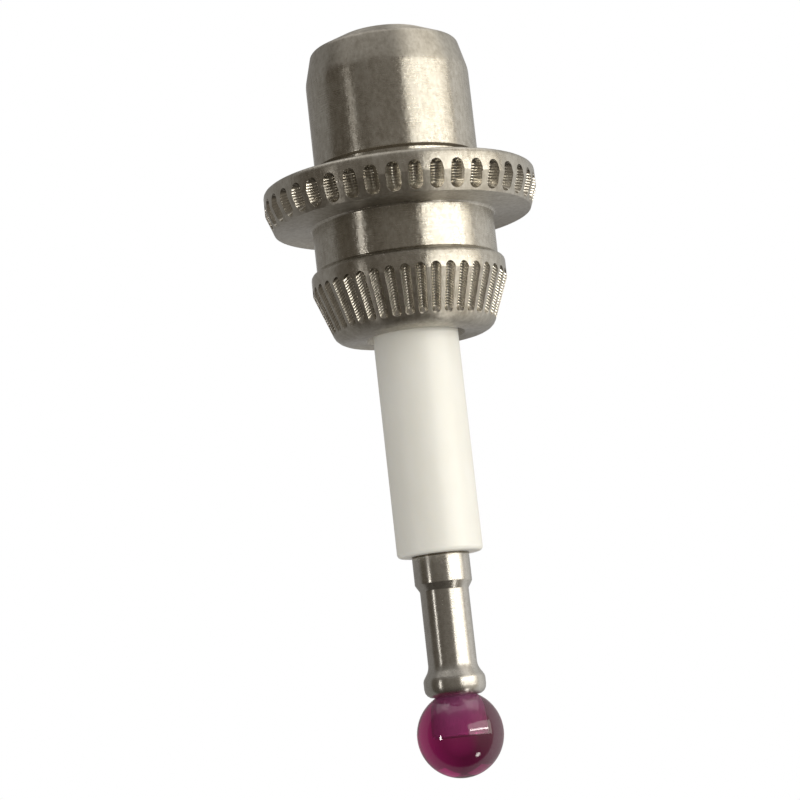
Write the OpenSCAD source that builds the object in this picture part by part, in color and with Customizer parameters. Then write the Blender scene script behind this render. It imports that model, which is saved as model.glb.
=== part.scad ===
// Stylus for a coordinate measuring machine: a turned steel mounting head with two rings of
// milled grip grooves, a ceramic stem, a stepped steel tip holder and a ruby ball.
// Millimetres, +Z up along the axis, spigot up and ball down as it is used.
// The origin is on the axis, where the spigot's ground length begins above the relief at its root.

/* [Stylus] */
// Working length, from the seat face to the centre of the ball
working_len = 39.15; // [32:0.05:100]

/* [Spigot] */
// Diameter of the parallel part that enters the machine's socket
spigot_d = 11.65; // [9:0.05:13]
// Length of the ground parallel part above the relief
spigot_len = 6.2; // [4:0.05:14]
// Axial length of the lead-in taper
lead_in_len = 2.15; // [0.5:0.05:3]
// Radius lost over the lead-in taper
lead_in_drop = 0.55; // [0.2:0.05:1]
// Height of the crowned end above the lead-in taper
crown_h = 1.05; // [0.2:0.05:1.5]
// Radius lost over the crowned end
crown_drop = 2.3; // [0.5:0.05:3]
// Width of the grinding relief at the root, above the seat face
relief_w = 1.3; // [0.5:0.05:2]
// Depth of the grinding relief in the spigot
relief_depth = 0.25; // [0.1:0.05:0.3]
// Depth of the grinding relief in the seat face
relief_face = 0.1; // [0.05:0.05:0.3]
// Reach of the grinding relief outside the spigot
relief_out = 0.2; // [0.1:0.05:0.4]

/* [Flange] */
// Diameter of the flange over its straight band
flange_d = 19.3; // [17:0.1:26]
// Height of the straight band below the seat face
flange_band_h = 1.6; // [1.4:0.05:4]
// Height of the taper from the band to the underside
flange_taper_h = 1.35; // [1.1:0.05:3]
// Rounding of the upper edges of flange and collar
shoulder_r = 0.4; // [0.2:0.05:0.4]
// Angle of the tapers on flange and collar to the axis
taper_angle = 21; // [15:0.5:23]

/* [Neck] */
// Diameter of the plain neck
neck_d = 12.85; // [10:0.05:12.85]
// Length of the neck from the flange to the collar
neck_len = 3.25; // [1:0.05:8]
// Fillet between the neck and the flange
neck_fillet = 0.15; // [0.05:0.05:0.5]
// Width and depth of the tool groove where the neck meets the collar
root_groove = 0.2; // [0.1:0.02:0.4]

/* [Collar] */
// Diameter of the collar's straight band
collar_d = 13.75; // [13.75:0.05:16]
// Height of the straight band
collar_band_h = 1.5; // [1:0.05:4]
// Height from the band to the end face
collar_taper_h = 3.55; // [2.5:0.05:5]
// Rounding of the collar's lower edge
collar_edge_r = 0.95; // [0.4:0.05:1.2]

/* [Grip grooves] */
// Number of grooves around each ring
groove_count = 40; // [24:1:42]
// Included angle of the pointed cutter
groove_angle = 80; // [60:5:85]
// Turn of the first groove from the front
groove_phase = -2.3; // [-4:0.1:4]
// How far each cutter starts above the taper, in the band
groove_lead = 0.25; // [0.1:0.05:0.4]
// Depth of the flange grooves below the taper
flange_groove_depth = 0.65; // [0.2:0.01:0.7]
// Taper left standing below the flange grooves
flange_groove_land = 0.06; // [0.02:0.01:0.3]
// Depth of the collar grooves below the taper
collar_groove_depth = 0.48; // [0.15:0.01:0.48]
// How far the cutter stops above the collar's rounded edge
collar_groove_stop = 0.5; // [0.1:0.05:0.8]
// How much steeper the collar grooves run than the taper, in degrees
collar_groove_lean = 2; // [0:0.5:4]

/* [Stem] */
// Outside diameter of the ceramic tube
stem_d = 6; // [5:0.1:6.5]
// Bore of the ceramic tube
stem_bore = 3.2; // [2.6:0.1:3.6]
// Length of stem bonded into the head
stem_seat = 10; // [6:0.5:14]
// Rounding of the stem's lower edge
stem_edge_r = 0.28; // [0.1:0.02:0.5]
// Diameter of the countersunk mouth round the stem
mouth_d = 7; // [6.6:0.1:7.6]
// Angle of the countersink to the axis
mouth_angle = 30; // [15:1:45]

/* [Tip holder] */
// Diameter of the band under the stem
band_d = 4; // [3.8:0.05:5]
// Height of the band under the stem
band_h = 1.98; // [0.5:0.02:4]
// Height of the cone below the band
cone_h = 0.5; // [0.2:0.02:1]
// Diameter of the slender shank
shank_d = 3.4; // [2.6:0.05:3.7]
// Length of the slender shank
shank_len = 5.4; // [2:0.05:30]
// Height of the flare above the foot
flare_h = 0.7; // [0.4:0.05:2]
// Diameter of the foot above the ball
foot_d = 4.3; // [4:0.05:5]
// Height of the foot's straight rim
foot_h = 0.6; // [0.3:0.05:1.5]
// Rounding of the foot's lower edge
foot_edge_r = 0.65; // [0.2:0.05:0.65]
// Length of the peg bonded into the stem
peg_len = 7; // [3:0.5:12]

/* [Ball] */
// Diameter of the ruby ball
ball_d = 6; // [5.4:0.1:8]
// Diameter of the pin that carries the ball
pin_d = 2.2; // [1.2:0.1:2.4]
// Depth of the blind hole from the top of the ball
hole_depth = 3.1; // [2:0.1:4]

/* [Fits] */
// Bond gap on each side of every glued joint
bond = 0.02; // [0.01:0.005:0.05]
// Bevel on the hidden ends of pegs and tubes
end_bevel = 0.25; // [0.1:0.05:0.4]

/* [Hidden] */
$fn = 96;
// Small overrun that keeps cuts clear of the faces they break through
over = 0.5;
// How far the ends of a cutter's path are drawn past its tip
tip = 0.1;

// Radii and levels of the head
spigot_r = spigot_d / 2;
lead_in_r = spigot_r - lead_in_drop;
crown_r = lead_in_r - crown_drop;
lead_in_top = spigot_len + lead_in_len;
head_top = lead_in_top + crown_h;
seat_z = -relief_w;
flange_r = flange_d / 2;
flange_edge = seat_z - flange_band_h;
flange_bottom = flange_edge - flange_taper_h;
underside_r = flange_r - flange_taper_h * tan(taper_angle);
neck_r = neck_d / 2;
collar_top = flange_bottom - neck_len;
collar_r = collar_d / 2;
taper_top = collar_top - collar_band_h;
head_bottom = taper_top - collar_taper_h;
nose_r = collar_r - collar_taper_h * tan(taper_angle);
// How far the collar's rounded edge reaches along each of the two faces it joins
edge_run = collar_edge_r / tan(45 + taper_angle / 2);

// Lengths of the cutters' paths, measured down the tapers
cutter_run = flange_groove_depth * tan(groove_angle / 2);
flange_groove_len = flange_taper_h / cos(taper_angle) - flange_groove_land - cutter_run;
collar_groove_len = collar_taper_h / cos(taper_angle) - edge_run - collar_groove_stop;

// Levels of the ball, the holder and the stem, up from the ball's centre
ball_r = ball_d / 2;
ball_z = seat_z - working_len;
hole_bottom = ball_z + ball_r - hole_depth;
foot_r = foot_d / 2;
cup_r = ball_r + bond;
// The cup's rim lies where the foot's rounded edge ends
cup_rim_r = foot_r - foot_edge_r;
foot_bottom = ball_z + sqrt(cup_r * cup_r - cup_rim_r * cup_rim_r);
foot_top = foot_bottom + foot_edge_r + foot_h;
shank_bottom = foot_top + flare_h;
shank_top = shank_bottom + shank_len;
band_bottom = shank_top + cone_h;
stem_bottom = band_bottom + band_h;
stem_r = stem_d / 2;
stem_top = head_bottom + stem_seat;
mouth_h = (mouth_d / 2 - stem_r - bond) / tan(mouth_angle);

// What a rounding takes off a corner: the kite of corner, tangent points and centre, less the circle
module corner_waste(corner, tangent_a, tangent_b, centre, r) {
    difference() {
        polygon([corner, tangent_a, centre, tangent_b]);
        translate(centre) circle(r);
    }
}

module shoulder_waste(corner) {
    corner_waste(corner, corner - [shoulder_r, 0], corner - [0, shoulder_r],
        corner - [shoulder_r, shoulder_r], shoulder_r);
}

// The path of a pointed cutter up along Z, its tip at the given depth inside the plane X = 0
module groove_path(depth, length) {
    reach = depth + over;
    slope = tan(groove_angle / 2);
    half = reach * slope;
    translate([-depth, 0, 0]) intersection() {
        translate([0, 0, -2 * half])
            linear_extrude(length + 4 * half) polygon([[0, 0], [reach, -half], [reach, half]]);
        rotate([90, 0, 0]) linear_extrude(4 * half, center = true) polygon([
            [-tip, tip * slope],
            [2 * reach, -2 * half],
            [2 * reach, length + 2 * half],
            [-tip, length - tip * slope],
        ]);
    }
}

// A ring of grooves down a taper: each cutter leans about the edge where the band ends
module taper_grooves(r, top, depth, length, lean) {
    for (i = [0 : groove_count - 1])
        rotate(groove_phase - 90 + i * 360 / groove_count)
            translate([r, 0, top]) rotate([0, lean, 0]) translate([0, 0, -length])
                groove_path(depth, length + groove_lead);
}

// Turned outline of the head, right half, from the crowned end down to the end face of the collar
module head_outline() {
    taper_run = [sin(taper_angle), cos(taper_angle)];
    nose = [nose_r, head_bottom];
    difference() {
        polygon([
            [0, head_top],
            [crown_r, head_top],
            [lead_in_r, lead_in_top],
            [spigot_r, spigot_len],
            [spigot_r, 0],
            [spigot_r - relief_depth, -relief_depth],
            [spigot_r - relief_depth, seat_z - relief_face],
            [spigot_r + relief_out, seat_z - relief_face],
            [spigot_r + relief_out, seat_z],
            [flange_r, seat_z],
            [flange_r, flange_edge],
            [underside_r, flange_bottom],
            [neck_r + neck_fillet, flange_bottom],
            [neck_r, flange_bottom - neck_fillet],
            [neck_r, collar_top + root_groove],
            [neck_r - root_groove, collar_top],
            [collar_r, collar_top],
            [collar_r, taper_top],
            nose,
            [0, head_bottom],
        ]);
        shoulder_waste([flange_r, seat_z]);
        shoulder_waste([collar_r, collar_top]);
        corner_waste(nose, nose + edge_run * taper_run, [nose_r - edge_run, head_bottom],
            [nose_r - edge_run, head_bottom + collar_edge_r], collar_edge_r);
    }
}

module stem_socket() {
    translate([0, 0, head_bottom - over]) cylinder(h = stem_seat + over, r = stem_r + bond);
    translate([0, 0, head_bottom]) cylinder(h = mouth_h, r1 = mouth_d / 2, r2 = stem_r + bond);
}

module mounting_head() {
    color("#8f8b84") difference() {
        rotate_extrude() head_outline();
        stem_socket();
        taper_grooves(flange_r, flange_edge, flange_groove_depth, flange_groove_len, taper_angle);
        taper_grooves(collar_r, taper_top, collar_groove_depth, collar_groove_len,
            taper_angle - collar_groove_lean);
    }
}

module ceramic_stem() {
    corner = [stem_r, stem_bottom];
    color("#f1efe6") rotate_extrude() difference() {
        polygon([
            [stem_bore / 2, stem_top],
            [stem_r - end_bevel, stem_top],
            [stem_r, stem_top - end_bevel],
            corner,
            [stem_bore / 2, stem_bottom],
        ]);
        corner_waste(corner, corner + [0, stem_edge_r], corner - [stem_edge_r, 0],
            corner + [-stem_edge_r, stem_edge_r], stem_edge_r);
    }
}

module tip_holder() {
    peg_r = stem_bore / 2 - bond;
    peg_top = stem_bottom + peg_len;
    pin_r = pin_d / 2;
    pin_bottom = hole_bottom + bond;
    corner = [foot_r, foot_bottom];
    color("#a5a19a") difference() {
        rotate_extrude() difference() {
            polygon([
                [0, peg_top],
                [peg_r - end_bevel, peg_top],
                [peg_r, peg_top - end_bevel],
                [peg_r, stem_bottom],
                [band_d / 2, stem_bottom],
                [band_d / 2, band_bottom],
                [shank_d / 2, shank_top],
                [shank_d / 2, shank_bottom],
                [foot_r, foot_top],
                corner,
                [0, foot_bottom],
            ]);
            corner_waste(corner, corner + [0, foot_edge_r], corner - [foot_edge_r, 0],
                corner + [-foot_edge_r, foot_edge_r], foot_edge_r);
        }
        translate([0, 0, ball_z]) sphere(cup_r);
    }
    color("#a5a19a") translate([0, 0, pin_bottom]) cylinder(h = foot_top - pin_bottom, r = pin_r);
}

module ruby_ball() {
    color("#7d1440") difference() {
        translate([0, 0, ball_z]) sphere(ball_r);
        translate([0, 0, hole_bottom]) cylinder(h = ball_d, r = pin_d / 2 + bond);
    }
}

mounting_head();
ceramic_stem();
tip_holder();
ruby_ball();
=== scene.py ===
import math

import bmesh
import bpy
from mathutils import Matrix, Vector


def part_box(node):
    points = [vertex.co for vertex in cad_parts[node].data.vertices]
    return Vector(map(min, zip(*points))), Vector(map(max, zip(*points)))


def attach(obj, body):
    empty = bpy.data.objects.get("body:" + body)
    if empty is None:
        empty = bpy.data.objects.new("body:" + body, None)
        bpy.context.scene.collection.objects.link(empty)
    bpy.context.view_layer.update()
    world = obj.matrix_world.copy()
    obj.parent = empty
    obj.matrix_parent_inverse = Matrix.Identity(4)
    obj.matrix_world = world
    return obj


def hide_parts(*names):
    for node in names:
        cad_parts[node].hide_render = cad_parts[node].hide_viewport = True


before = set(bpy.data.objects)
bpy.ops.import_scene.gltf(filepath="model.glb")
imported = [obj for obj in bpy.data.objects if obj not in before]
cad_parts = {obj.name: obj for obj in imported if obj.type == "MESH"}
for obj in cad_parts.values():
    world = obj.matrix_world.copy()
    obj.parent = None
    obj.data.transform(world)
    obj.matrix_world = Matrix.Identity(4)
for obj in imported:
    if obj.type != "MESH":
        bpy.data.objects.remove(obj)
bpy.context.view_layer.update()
scene = bpy.context.scene
mm = 0.001


def linkObject(name, bm, smoothAngle=30):
    bmesh.ops.recalc_face_normals(bm, faces=bm.faces)
    mesh = bpy.data.meshes.new(name)
    bm.to_mesh(mesh)
    bm.free()
    obj = bpy.data.objects.new(name, mesh)
    scene.collection.objects.link(obj)
    shade(obj, smoothAngle)
    return obj


def shade(obj, smoothAngle):
    obj.data.shade_smooth()
    obj.data.set_sharp_from_angle(angle=math.radians(smoothAngle))


def flattenShading(obj):
    # large faces keep their own normals, so reflections stay true beside the edge breaks
    weights = obj.modifiers.new("weights", "WEIGHTED_NORMAL")
    weights.keep_sharp = True
    weights.weight = 100
    bpy.context.view_layer.objects.active = obj
    bpy.ops.object.modifier_apply(modifier=weights.name)


def lathe(profile, steps):
    # profile rows are radius, level and the size of the edge break there, all in mm
    bm = bmesh.new()
    verts = [bm.verts.new((r * mm, 0, z * mm)) for r, z, _ in profile]
    for pair in zip(verts, verts[1:]):
        bm.edges.new(pair)
    for size in sorted({row[2] for row in profile if row[2]}):
        corners = [v for v, row in zip(verts, profile) if row[2] == size]
        bmesh.ops.bevel(bm, geom=corners, offset=size * mm, offset_type="OFFSET",
                        affect="VERTICES", segments=4, profile=0.5, material=-1)
    bmesh.ops.spin(bm, geom=bm.verts[:] + bm.edges[:], cent=(0, 0, 0), axis=(0, 0, 1),
                   angle=2 * math.pi, steps=steps, use_merge=True)
    bmesh.ops.remove_doubles(bm, verts=bm.verts, dist=1e-7)
    return bm


def place(piece, node, material):
    flattenShading(piece)
    piece.data.materials.clear()
    piece.data.materials.append(material)
    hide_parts(node)
    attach(piece, "root")


# materials

def newMaterial(name):
    mat = bpy.data.materials.new(name)
    mat.use_nodes = True
    tree = mat.node_tree
    return mat, tree, tree.nodes["Principled BSDF"]


def add(tree, kind, **settings):
    node = tree.nodes.new(kind)
    for key, value in settings.items():
        setattr(node, key, value)
    return node


def maths(tree, operation, a, b=None):
    node = add(tree, "ShaderNodeMath", operation=operation)
    for socket, value in zip(node.inputs, (a, b)):
        if value is None:
            continue
        if isinstance(value, (int, float)):
            socket.default_value = value
        else:
            tree.links.new(value, socket)
    return node.outputs[0]


def aroundAxis(tree):
    # place across the axis, height along it and radius, in mm, with no seam anywhere
    coord = add(tree, "ShaderNodeTexCoord")
    split = add(tree, "ShaderNodeSeparateXYZ")
    tree.links.new(coord.outputs["Object"], split.inputs[0])
    flat = maths(tree, "SQRT", maths(tree, "ADD", maths(tree, "MULTIPLY", split.outputs[0], split.outputs[0]),
                                     maths(tree, "MULTIPLY", split.outputs[1], split.outputs[1])))
    return [maths(tree, "MULTIPLY", value, 1000) for value in (*split.outputs, flat)]


def noiseOn(tree, coords, stretch, scale, detail=3.0, rough=0.55):
    join = add(tree, "ShaderNodeCombineXYZ")
    for value, factor, socket in zip(coords, stretch, join.inputs):
        tree.links.new(maths(tree, "MULTIPLY", value, factor), socket)
    noise = add(tree, "ShaderNodeTexNoise")
    noise.inputs["Scale"].default_value = scale
    noise.inputs["Detail"].default_value = detail
    noise.inputs["Roughness"].default_value = rough
    tree.links.new(join.outputs[0], noise.inputs["Vector"])
    return noise.outputs["Fac"]


def ramp(tree, value, stops):
    node = add(tree, "ShaderNodeValToRGB")
    while len(node.color_ramp.elements) < len(stops):
        node.color_ramp.elements.new(0.5)
    for element, (at, colour) in zip(node.color_ramp.elements, stops):
        element.position = at
        element.color = (*colour, 1)
    tree.links.new(value, node.inputs[0])
    return node.outputs[0]


def between(tree, value, low, high, toLow, toHigh):
    node = add(tree, "ShaderNodeMapRange")
    for socket, number in zip(node.inputs[1:5], (low, high, toLow, toHigh)):
        socket.default_value = number
    tree.links.new(value, node.inputs[0])
    return node.outputs[0]


def bumps(tree, shader, layers):
    # each layer is a height, its depth in mm and its strength
    last = None
    for height, depth, strength in layers:
        node = add(tree, "ShaderNodeBump")
        node.inputs["Distance"].default_value = depth * mm
        node.inputs["Strength"].default_value = strength
        tree.links.new(height, node.inputs["Height"])
        if last:
            tree.links.new(last, node.inputs["Normal"])
        last = node.outputs[0]
    tree.links.new(last, shader.inputs["Normal"])


def within(tree, value, low, high):
    return maths(tree, "MULTIPLY", maths(tree, "GREATER_THAN", value, low), maths(tree, "LESS_THAN", value, high))


def closeIn(tree, mask, radius, reach):
    # the part of a mask that lies nearer to the axis than the reach
    return maths(tree, "MULTIPLY", mask, maths(tree, "LESS_THAN", radius, reach))


steelMarks = {
    "paintedShadeTone": (0.2, 0.175, 0.14, 1), "adhesive": (0.92, 0.9, 0.88, 1), "adhesiveRough": 0.6,
    "milledSmoother": 0.42, "milledAbove": 0.7, "acrossTurning": 0.25,
}


def steel(name, look, glueBelow=None, paintedShade=(), unground=(), milled=()):
    mat, tree, shader = newMaterial(name)
    x, y, height, radius = aroundAxis(tree)
    blotches = noiseOn(tree, (x, y, height), (1, 1, 0.6), look["blotch"], 4, 0.62)
    turning = noiseOn(tree, (x, height, radius), (0.04, 1, 1), look["turning"], 2, 0.5)
    grain = noiseOn(tree, (x, y, height), (1, 1, 0.7), look["grain"], 3, 0.6)
    mottle = maths(tree, "ADD", maths(tree, "MULTIPLY", blotches, 0.4), maths(tree, "MULTIPLY", grain, 0.6))
    colour = ramp(tree, mottle, ((0.36, look["dark"]), (0.51, look["base"]), (0.66, look["light"])))
    for bottom, top, reach in paintedShade:
        # painted shade: each listed band near the axis is darkened where shade falls, such as in an undercut
        paintedShadeTone = add(tree, "ShaderNodeMix", data_type="RGBA")
        tree.links.new(closeIn(tree, within(tree, height, bottom, top), radius, reach), paintedShadeTone.inputs[0])
        tree.links.new(colour, paintedShadeTone.inputs[6])
        paintedShadeTone.inputs[7].default_value = steelMarks["paintedShadeTone"]
        colour = paintedShadeTone.outputs[2]
    tree.links.new(colour, shader.inputs["Base Color"])
    rough = maths(tree, "ADD", between(tree, blotches, 0.35, 0.7, *look["rough"]),
                  between(tree, turning, 0.4, 0.6, -0.02, 0.02))
    for bottom, top, more in unground:
        rough = maths(tree, "ADD", rough, maths(tree, "MULTIPLY", within(tree, height, bottom, top), more))
    tangent = add(tree, "ShaderNodeTangent", direction_type="RADIAL", axis="Z")
    along = tangent.outputs[0]
    for edgeR, edge, bottom, lean in milled:
        # below the taper's own surface the cutter has left it smoother, with marks across the turning
        taper = maths(tree, "ADD", maths(tree, "MULTIPLY", maths(tree, "SUBTRACT", height, edge), lean), edgeR - 0.03)
        cut = closeIn(tree, within(tree, height, bottom, edge + steelMarks["milledAbove"]), radius, taper)
        cut = closeIn(tree, cut, radius, edgeR - 0.02)
        smoother = maths(tree, "MULTIPLY", cut, steelMarks["milledSmoother"])
        rough = maths(tree, "MULTIPLY", rough, maths(tree, "SUBTRACT", 1, smoother))
        crossed = add(tree, "ShaderNodeMix", data_type="VECTOR")
        tree.links.new(cut, crossed.inputs[0])
        tree.links.new(along, crossed.inputs[4])
        crossed.inputs[5].default_value = (0, 0, 1)
        along = crossed.outputs[1]
    tree.links.new(rough, shader.inputs["Roughness"])
    shader.inputs["Metallic"].default_value = 1
    if glueBelow:
        # the bonded pin wears a pale coat of adhesive, seen through the ball
        level, reach = glueBelow
        bonded = closeIn(tree, maths(tree, "LESS_THAN", height, level), radius, reach)
        coat = add(tree, "ShaderNodeMix", data_type="RGBA")
        tree.links.new(bonded, coat.inputs[0])
        tree.links.new(colour, coat.inputs[6])
        coat.inputs[7].default_value = steelMarks["adhesive"]
        tree.links.new(coat.outputs[2], shader.inputs["Base Color"])
        tree.links.new(maths(tree, "SUBTRACT", 1, bonded), shader.inputs["Metallic"])
        matt = maths(tree, "MULTIPLY", bonded, steelMarks["adhesiveRough"])
        tree.links.new(maths(tree, "MAXIMUM", rough, matt), shader.inputs["Roughness"])
    shader.inputs["Anisotropic"].default_value = look["brushed"]
    shader.inputs["Anisotropic Rotation"].default_value = steelMarks["acrossTurning"]
    tree.links.new(along, shader.inputs["Tangent"])
    bumps(tree, shader, ((blotches, look["blotchDepth"], 1), (grain, look["grainDepth"], 1),
                         (turning, look["turningDepth"], 1)))
    return mat


# the dark band just below the spigot is painted shade in the relief undercut
turnedSteel = steel("turnedSteel", {
    "base": (0.58, 0.55, 0.49), "dark": (0.46, 0.43, 0.375), "light": (0.68, 0.655, 0.6),
    "rough": (0.25, 0.32), "brushed": 0.9, "blotch": 0.9, "turning": 12.0, "grain": 3.6,
    "blotchDepth": 0.003, "grainDepth": 0.012, "turningDepth": 0.002,
}, paintedShade=((-0.19, -0.02, 5.9),),
    unground=((6.2, 9.5, 0.06), (-4.26, -2.9, 0.13), (-12.6, -9.0, 0.13)),
    milled=((9.65, -2.9, -4.24, 0.384), (6.875, -9.0, -11.85, 0.384)))
# the thin dark band at the holder's top is painted shade under the stem's bottom edge
polishedSteel = steel("polishedSteel", {
    "base": (0.60, 0.58, 0.545), "dark": (0.52, 0.50, 0.46), "light": (0.67, 0.655, 0.62),
    "rough": (0.26, 0.33), "brushed": 0.8, "blotch": 1.4, "turning": 16.0, "grain": 5.0,
    "blotchDepth": 0.004, "grainDepth": 0.004, "turningDepth": 0.001,
}, glueBelow=(-37.7, 1.2), paintedShade=((-28.14, -27.99, 2.05),))


def ceramic(name, look):
    mat, tree, shader = newMaterial(name)
    x, y, height, radius = aroundAxis(tree)
    clouds = noiseOn(tree, (x, y, height), (1, 1, 0.5), 0.6, 3, 0.5)
    ground = noiseOn(tree, (x, height, radius), (0.08, 1, 1), 9.0, 2, 0.5)
    grain = noiseOn(tree, (x, y, height), (1, 1, 1), 22.0, 2, 0.6)
    tree.links.new(ramp(tree, clouds, ((0.3, look["dark"]), (0.7, look["light"]))), shader.inputs["Base Color"])
    tree.links.new(between(tree, ground, 0.35, 0.65, *look["rough"]), shader.inputs["Roughness"])
    shader.inputs["Subsurface Weight"].default_value = look["glow"]
    shader.inputs["Subsurface Radius"].default_value = (1, 0.9, 0.75)
    shader.inputs["Subsurface Scale"].default_value = look["glowDepth"] * mm
    shader.inputs["IOR"].default_value = look["ior"]
    bumps(tree, shader, ((ground, 0.0015, 1), (grain, 0.0008, 1)))
    return mat


def ruby(name, look):
    mat, tree, shader = newMaterial(name)
    x, y, height, radius = aroundAxis(tree)
    veils = noiseOn(tree, (x, y, height), (1, 1, 1), 0.5, 3, 0.6)
    tree.links.new(ramp(tree, veils, ((0.3, look["dark"]), (0.7, look["light"]))), shader.inputs["Base Color"])
    tree.links.new(between(tree, veils, 0.3, 0.7, *look["rough"]), shader.inputs["Roughness"])
    shader.inputs["Transmission Weight"].default_value = 1
    shader.inputs["IOR"].default_value = look["ior"]
    depth = add(tree, "ShaderNodeVolumeAbsorption")
    depth.inputs["Color"].default_value = look["depthColour"]
    depth.inputs["Density"].default_value = look["density"]
    tree.links.new(depth.outputs[0], tree.nodes["Material Output"].inputs["Volume"])
    return mat


whiteCeramic = ceramic("whiteCeramic", {
    "dark": (0.86, 0.845, 0.785), "light": (0.89, 0.88, 0.83), "rough": (0.3, 0.42),
    "glow": 0.25, "glowDepth": 0.4, "ior": 1.6,
})
rubyGlass = ruby("rubyGlass", {
    "dark": (0.92, 0.72, 0.82), "light": (1.0, 0.86, 0.93), "rough": (0.0, 0.02), "ior": 1.77,
    "depthColour": (0.74, 0.055, 0.55, 1), "density": 850,
})
print("materials made")

# mounting head, turned and then cut with two rings of grip grooves

head = {
    "spigotR": 5.825, "spigotLen": 6.2, "leadIn": 2.15, "leadDrop": 0.55, "crown": 1.05, "crownDrop": 2.3,
    "reliefW": 1.3, "reliefDepth": 0.18, "reliefFace": 0.1, "reliefOut": 0.2,
    "flangeR": 9.65, "flangeBand": 1.6, "flangeTaper": 1.35, "shoulderR": 0.4, "taperAngle": 21,
    "neckR": 6.425, "neckLen": 3.25, "neckFillet": 0.15, "rootGroove": 0.13,
    "collarR": 6.875, "collarBand": 1.5, "collarTaper": 3.55, "edgeR": 0.95,
    "socketR": 3.02, "socketDeep": 10.0, "mouthR": 3.5, "mouthAngle": 30,
    "steps": 320, "soften": 0.04,
}
grip = {
    "count": 40, "phase": -2.3, "cutterAngle": 46, "feed": 0.195, "perFeed": 4, "across": 12, "over": 0.2,
    "lead": 0.25, "flangeDepth": 0.65, "flangeTip": 0.36, "flangeLand": 0.06, "flangeSlant": 0.15,
    "collarDepth": 0.48, "collarTip": 0.27, "collarStop": 0.5, "collarLean": 2, "collarSlant": -0.6,
}


def headProfile(h):
    soft = h["soften"]
    lean = math.tan(math.radians(h["taperAngle"]))
    leadR = h["spigotR"] - h["leadDrop"]
    top = h["spigotLen"] + h["leadIn"]
    seat = -h["reliefW"]
    edge = seat - h["flangeBand"]
    under = edge - h["flangeTaper"]
    collarTop = under - h["neckLen"]
    taperTop = collarTop - h["collarBand"]
    bottom = taperTop - h["collarTaper"]
    edgeRun = h["edgeR"] / math.tan(math.radians(45 + h["taperAngle"] / 2))
    mouth = (h["mouthR"] - h["socketR"]) / math.tan(math.radians(h["mouthAngle"]))
    inner = h["spigotR"] - h["reliefDepth"]
    outer = h["spigotR"] + h["reliefOut"]
    rows = [
        (0, top + h["crown"], 0),
        (leadR - h["crownDrop"], top + h["crown"], 0.3),
        (leadR, top, 0.2),
        (h["spigotR"], h["spigotLen"], 0.25),
        (h["spigotR"], 0, soft),
        (inner, -h["reliefDepth"], soft),
        (inner, seat - h["reliefFace"], 0),
        (outer, seat - h["reliefFace"], 0),
        (outer, seat, soft),
        (h["flangeR"], seat, h["shoulderR"]),
        (h["flangeR"], edge, 0.05),
        (h["flangeR"] - h["flangeTaper"] * lean, under, 0.03),
        (h["neckR"] + h["neckFillet"], under, 0.06),
        (h["neckR"], under - h["neckFillet"], 0.06),
        (h["neckR"], collarTop + h["rootGroove"], soft),
        (h["neckR"] - h["rootGroove"], collarTop, 0),
        (h["collarR"], collarTop, h["shoulderR"]),
        (h["collarR"], taperTop, 0.05),
        (h["collarR"] - h["collarTaper"] * lean, bottom, edgeRun),
        (h["mouthR"], bottom, soft),
        (h["socketR"], bottom + mouth, 0),
        (h["socketR"], bottom + h["socketDeep"], 0),
        (0, bottom + h["socketDeep"], 0),
    ]
    return rows, edge, taperTop, edgeRun


def cutterHalf(depth, tipR, g):
    # half the width that the round-nosed cutter opens at the given depth
    slope = math.tan(math.radians(g["cutterAngle"] / 2))
    return math.sqrt((depth * slope + tipR) ** 2 - tipR ** 2)


def groovePath(depth, tipR, length, slant, g):
    # the sheet that a stepped round-nosed cutter leaves, closed into a solid; x points out, z along the path
    slope = math.tan(math.radians(g["cutterAngle"] / 2))
    reach = depth + g["over"]
    half = cutterHalf(reach, tipR, g)
    feed = g["feed"]
    steps = round(length / feed)
    ends = math.ceil(half / feed)
    bm = bmesh.new()
    bmesh.ops.create_grid(bm, x_segments=(steps + 2 * ends) * g["perFeed"], y_segments=g["across"], size=0.5)
    bmesh.ops.extrude_face_region(bm, geom=bm.faces[:], use_keep_orig=True)
    outside = bm.verts[:len(bm.verts) // 2]
    for v in bm.verts:
        along = ((v.co.x + 0.5) * (steps + 2 * ends) - ends) * feed
        across = v.co.y * 2 * half
        nearest = min(max(round(along / feed), 0), steps) * feed
        away = math.hypot(across, along - nearest, tipR) - tipR
        out = min(away / slope, reach - 0.02)
        v.co = (out, across, along + slant * out)
    for v in outside:
        v.co.x = reach
    for v in bm.verts:
        v.co.x -= depth
        v.co *= mm
    return bm


def groovesRound(name, bm, g):
    first = Matrix.Rotation(math.radians(g["phase"] - 90), 3, "Z")
    bmesh.ops.rotate(bm, cent=(0, 0, 0), matrix=first, verts=bm.verts)
    bmesh.ops.spin(bm, geom=bm.verts[:] + bm.edges[:] + bm.faces[:], cent=(0, 0, 0), axis=(0, 0, 1),
                   angle=2 * math.pi * (g["count"] - 1) / g["count"], steps=g["count"] - 1, use_duplicate=True)
    return linkObject(name, bm)


def cutAway(piece, cutter):
    cut = piece.modifiers.new("grooves", "BOOLEAN")
    cut.operation = "DIFFERENCE"
    cut.solver = "MANIFOLD"
    cut.object = cutter
    bpy.context.view_layer.objects.active = piece
    bpy.ops.object.modifier_apply(modifier=cut.name)
    bpy.data.objects.remove(cutter, do_unlink=True)


def cutRing(piece, name, edge, depth, tipR, run, lean, slant, g):
    # the cutter starts just above the taper's upper edge and follows the taper down
    bm = groovePath(depth, tipR, run + g["lead"], slant, g)
    bmesh.ops.translate(bm, vec=(0, 0, -run * mm), verts=bm.verts)
    bmesh.ops.rotate(bm, cent=(0, 0, 0), matrix=Matrix.Rotation(math.radians(lean), 3, "Y"), verts=bm.verts)
    bmesh.ops.translate(bm, vec=(edge[0] * mm, 0, edge[1] * mm), verts=bm.verts)
    cutAway(piece, groovesRound(name, bm, g))


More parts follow.
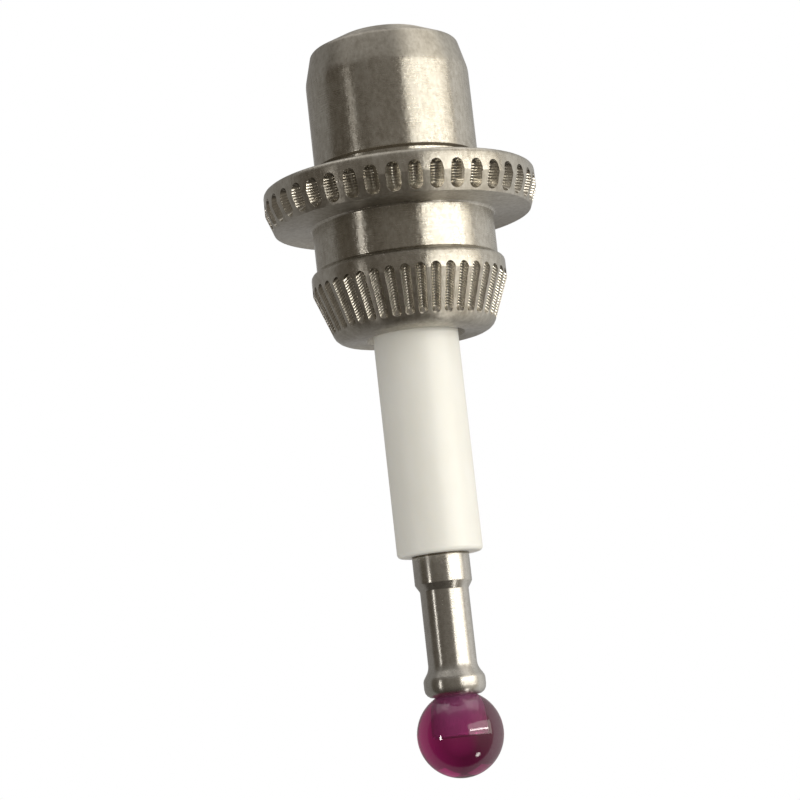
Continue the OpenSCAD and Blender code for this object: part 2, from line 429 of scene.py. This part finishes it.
rows, flangeEdge, taperTop, edgeRun = headProfile(head)
mountingHead = linkObject("mountingHead", lathe(rows, head["steps"]))
slantLength = 1 / math.cos(math.radians(head["taperAngle"]))
flangeHalf = cutterHalf(grip["flangeDepth"], grip["flangeTip"], grip)
run = head["flangeTaper"] * slantLength - grip["flangeLand"] - flangeHalf
cutRing(mountingHead, "flangeGrooves", (head["flangeR"], flangeEdge), grip["flangeDepth"], grip["flangeTip"],
        run, head["taperAngle"], grip["flangeSlant"], grip)
run = head["collarTaper"] * slantLength - edgeRun - grip["collarStop"]
cutRing(mountingHead, "collarGrooves", (head["collarR"], taperTop), grip["collarDepth"], grip["collarTip"],
        run, head["taperAngle"] - grip["collarLean"], grip["collarSlant"], grip)
shade(mountingHead, 24)
place(mountingHead, "mounting_head", turnedSteel)
print("head turned and cut,", len(mountingHead.data.polygons), "faces")

# ceramic stem, a ground tube

stem = {"r": 3.0, "bore": 1.6, "edgeR": 0.28, "endBevel": 0.25, "steps": 160}
low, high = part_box("ceramic_stem")
stemBottom, stemTop = low.z / mm, high.z / mm
ceramicStem = linkObject("ceramicStem", lathe([
    (stem["bore"], stemBottom, 0.04),
    (stem["r"], stemBottom, stem["edgeR"]),
    (stem["r"], stemTop, stem["endBevel"]),
    (stem["bore"], stemTop, 0.04),
    (stem["bore"], stemBottom + 0.1, 0),
    (stem["bore"], stemBottom, 0),
], stem["steps"]))
place(ceramicStem, "ceramic_stem", whiteCeramic)

# tip holder, with its peg in the stem and its pin in the ball

ball = {"r": 3.0, "holeDeep": 3.1, "pinR": 1.1, "bond": 0.02, "steps": 192, "rows": 96}
holder = {
    "bandR": 2.0, "cone": 0.5, "shankR": 1.7, "shank": 5.4, "flare": 0.7,
    "footR": 2.15, "foot": 0.6, "footEdge": 0.65, "pegR": 1.58, "peg": 7.0, "endBevel": 0.25,
    "soften": 0.04, "steps": 160,
}
low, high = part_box("ruby_ball")
ballZ = low.z / mm + ball["r"]
cupR = ball["r"] + ball["bond"]
cupRim = holder["footR"] - holder["footEdge"]
footBottom = ballZ + math.sqrt(cupR ** 2 - cupRim ** 2)
footTop = footBottom + holder["footEdge"] + holder["foot"]
shankBottom = footTop + holder["flare"]
shankTop = shankBottom + holder["shank"]
bandBottom = shankTop + holder["cone"]
holeBottom = ballZ + ball["r"] - ball["holeDeep"]
cupMid = (cupRim + ball["pinR"]) / 2
tipHolder = linkObject("tipHolder", lathe([
    (0, stemBottom + holder["peg"], 0),
    (holder["pegR"], stemBottom + holder["peg"], holder["endBevel"]),
    (holder["pegR"], stemBottom, 0),
    (holder["bandR"], stemBottom, holder["soften"]),
    (holder["bandR"], bandBottom, holder["soften"]),
    (holder["shankR"], shankTop, holder["soften"]),
    (holder["shankR"], shankBottom, 0.3),
    (holder["footR"], footTop, 0.15),
    (holder["footR"], footBottom, holder["footEdge"] - 0.01),
    (cupRim, footBottom, 0),
    (cupMid, ballZ + math.sqrt(cupR ** 2 - cupMid ** 2), 0),
    (ball["pinR"], ballZ + math.sqrt(cupR ** 2 - ball["pinR"] ** 2), 0),
    (ball["pinR"], holeBottom + ball["bond"], 0.1),
    (0, holeBottom + ball["bond"], 0),
], holder["steps"]))
place(tipHolder, "tip_holder", polishedSteel)

# ruby ball, drilled for the pin, whose bond leaves no air between them

bm = bmesh.new()
bmesh.ops.create_uvsphere(bm, u_segments=ball["steps"], v_segments=ball["rows"], radius=ball["r"] * mm)
bmesh.ops.translate(bm, vec=(0, 0, ballZ * mm), verts=bm.verts)
rubyBall = linkObject("rubyBall", bm)
bm = bmesh.new()
drill = ball["pinR"] - 0.004
bmesh.ops.create_cone(bm, cap_ends=True, segments=holder["steps"], radius1=drill * mm, radius2=drill * mm,
                      depth=2 * ball["r"] * mm)
bmesh.ops.translate(bm, vec=(0, 0, (holeBottom + ball["bond"] + 0.004 + ball["r"]) * mm), verts=bm.verts)
cutAway(rubyBall, linkObject("drill", bm))
shade(rubyBall, 30)
place(rubyBall, "ruby_ball", rubyGlass)
print("stem, holder and ball made")

# floor, lamps, world and camera

ground = {"half": 0.5, "level": -0.075, "colour": (0.8, 0.8, 0.79, 1), "rough": 0.7}
bm = bmesh.new()
bmesh.ops.create_grid(bm, x_segments=1, y_segments=1, size=ground["half"])
bmesh.ops.translate(bm, vec=(0, 0, ground["level"]), verts=bm.verts)
floor = linkObject("floor", bm)
mat, tree, shader = newMaterial("paleFloor")
shader.inputs["Base Color"].default_value = ground["colour"]
shader.inputs["Roughness"].default_value = ground["rough"]
floor.data.materials.append(mat)
floor.visible_glossy = False
floor.visible_transmission = False

middle = Vector((0, 0, -0.016))
# azimuth from the camera's side and positive to its right, elevation, distance, size, energy and colour
lamps = {
    "keyPanel": (57, 7, 0.5, (0.7, 0.27), 0.88, (1.0, 0.97, 0.88)),
    "keyBar": (52, 4, 0.45, (0.46, 0.03), 0.42, (1.0, 0.98, 0.92)),
    "rightPanel": (110, 62, 0.5, (0.4, 0.24), 0.16, (1.0, 0.97, 0.92)),
    "leftPanel": (-115, 62, 0.5, (0.4, 0.24), 0.12, (1.0, 0.98, 0.95)),
    "topPanel": (10, 84, 0.5, (0.6, 0.4), 0.25, (1.0, 0.97, 0.92)),
    "leftSpot": (-55, -7, 0.4, (0.03, 0.07), 0.1, (1.0, 0.97, 0.92)),
}


def areaLamp(name, azimuth, elevation, distance, size, energy, colour):
    a, e = math.radians(azimuth), math.radians(elevation)
    away = Vector((math.sin(a) * math.cos(e), -math.cos(a) * math.cos(e), math.sin(e)))
    data = bpy.data.lights.new(name, "AREA")
    data.shape = "RECTANGLE"
    data.size, data.size_y = size
    data.energy = energy
    data.color = colour
    lamp = bpy.data.objects.new(name, data)
    lamp.location = middle + away * distance
    lamp.rotation_euler = (-away).to_track_quat("-Z", "Y").to_euler()
    lamp.visible_camera = False
    scene.collection.objects.link(lamp)


for name, row in lamps.items():
    areaLamp(name, *row)

# what metal, glass and matt surfaces see; stops run upwards in the room, and from left to right in the others
studio = {
    "room": ((0.0, (0.05, 0.044, 0.037)), (0.55, (0.225, 0.203, 0.172)), (0.72, (0.235, 0.217, 0.195)),
             (0.86, (0.25, 0.235, 0.215)), (1.0, (0.5, 0.48, 0.45))),
    "acrossRoom": ((0.08, (0.5, 0.48, 0.45)), (0.35, (0.9, 0.9, 0.9)), (0.66, (1, 1, 1)), (0.88, (2.3, 2.25, 2.15))),
    "sides": ((0.0, (0.26, 0.25, 0.235)), (0.5, (0.27, 0.26, 0.25)), (0.8, (0.55, 0.54, 0.515)),
              (0.97, (0.85, 0.83, 0.79))),
    "soft": ((0.0, (0.36, 0.35, 0.33)), (1.0, (0.7, 0.69, 0.67))),
    "backdropTowards": (0, 0.99, 0.143), "backdropShare": 0.35,
    "glintTowards": (0.545, -0.254, -0.799), "glint": (6, 5.8, 5.4, 1),
    "glassFront": (0.6, 0.6, 0.6, 1),
}
world = bpy.data.worlds.new("studio")
scene.world = world
world.use_nodes = True
tree = world.node_tree
tree.nodes.clear()
coord = add(tree, "ShaderNodeTexCoord")
split = add(tree, "ShaderNodeSeparateXYZ")
tree.links.new(coord.outputs["Generated"], split.inputs[0])
right = between(tree, split.outputs[0], -1, 1, 0, 1)
height = between(tree, split.outputs[2], -1, 1, 0, 1)
# a dim room in front, brighter to the right, and the white backdrop behind
dimRoom = ramp(tree, height, studio["room"])
shaded = add(tree, "ShaderNodeMix", data_type="RGBA", blend_type="MULTIPLY")
shaded.inputs[0].default_value = 1
tree.links.new(dimRoom, shaded.inputs[6])
tree.links.new(ramp(tree, right, studio["acrossRoom"]), shaded.inputs[7])
sides = ramp(tree, right, studio["sides"])
turned = between(tree, split.outputs[1], 0.06, 0.18, 0, 1)
blend = add(tree, "ShaderNodeMix", data_type="RGBA")
tree.links.new(turned, blend.inputs[0])
tree.links.new(shaded.outputs[2], blend.inputs[6])
tree.links.new(sides, blend.inputs[7])
behind = add(tree, "ShaderNodeMix", data_type="RGBA")
facing = add(tree, "ShaderNodeVectorMath", operation="DOT_PRODUCT")
tree.links.new(coord.outputs["Generated"], facing.inputs[0])
facing.inputs[1].default_value = studio["backdropTowards"]
tree.links.new(between(tree, facing.outputs["Value"], 0.93, 1.0, 0, studio["backdropShare"]), behind.inputs[0])
tree.links.new(blend.outputs[2], behind.inputs[6])
behind.inputs[7].default_value = (1, 1, 1, 1)
soft = ramp(tree, right, studio["soft"])
path = add(tree, "ShaderNodeLightPath")
# a glint low on the right
glint = add(tree, "ShaderNodeMix", data_type="RGBA")
nearGlint = add(tree, "ShaderNodeVectorMath", operation="DOT_PRODUCT")
tree.links.new(coord.outputs["Generated"], nearGlint.inputs[0])
nearGlint.inputs[1].default_value = studio["glintTowards"]
tree.links.new(between(tree, nearGlint.outputs["Value"], 0.993, 0.998, 0, 1), glint.inputs[0])
tree.links.new(behind.outputs[2], glint.inputs[6])
glint.inputs[7].default_value = studio["glint"]
mirrored = add(tree, "ShaderNodeMix", data_type="RGBA")
tree.links.new(path.outputs["Is Glossy Ray"], mirrored.inputs[0])
tree.links.new(soft, mirrored.inputs[6])
tree.links.new(glint.outputs[2], mirrored.inputs[7])
# glass gathers the studio's pale front as well
gathered = add(tree, "ShaderNodeMix", data_type="RGBA")
tree.links.new(between(tree, split.outputs[1], -0.1, 0.2, 0, 1), gathered.inputs[0])
gathered.inputs[6].default_value = studio["glassFront"]
tree.links.new(behind.outputs[2], gathered.inputs[7])
room = add(tree, "ShaderNodeMix", data_type="RGBA")
tree.links.new(path.outputs["Is Transmission Ray"], room.inputs[0])
tree.links.new(mirrored.outputs[2], room.inputs[6])
tree.links.new(gathered.outputs[2], room.inputs[7])
seen = add(tree, "ShaderNodeMix", data_type="RGBA")
tree.links.new(path.outputs["Is Camera Ray"], seen.inputs[0])
tree.links.new(room.outputs[2], seen.inputs[6])
seen.inputs[7].default_value = (1, 1, 1, 1)
background = add(tree, "ShaderNodeBackground")
tree.links.new(seen.outputs[2], background.inputs["Color"])
tree.links.new(background.outputs[0], add(tree, "ShaderNodeOutputWorld").inputs["Surface"])
world.cycles.sampling_method = "NONE"

view = {"at": (-1.595, -177.3, -42.49), "pitch": 8.215, "roll": -6.35, "focal": 2554.9}
pitch, roll = math.radians(view["pitch"]), math.radians(view["roll"])
ahead = Vector((0, math.cos(pitch), math.sin(pitch)))
level = Vector((1, 0, 0))
up = Vector((0, -math.sin(pitch), math.cos(pitch)))
across = math.cos(roll) * level + math.sin(roll) * up
above = math.cos(roll) * up - math.sin(roll) * level
camera = bpy.data.cameras.new("camera")
camera.sensor_width = 36
camera.lens = 36 * view["focal"] / 800
camera.clip_start = 0.005
cameraObject = bpy.data.objects.new("camera", camera)
turn = Matrix((across, above, -ahead)).transposed().to_4x4()
cameraObject.matrix_world = Matrix.Translation(Vector(view["at"]) * mm) @ turn
scene.collection.objects.link(cameraObject)
scene.camera = cameraObject
scene.view_settings.view_transform = "Standard"
print("floor, lamps, world and camera set")
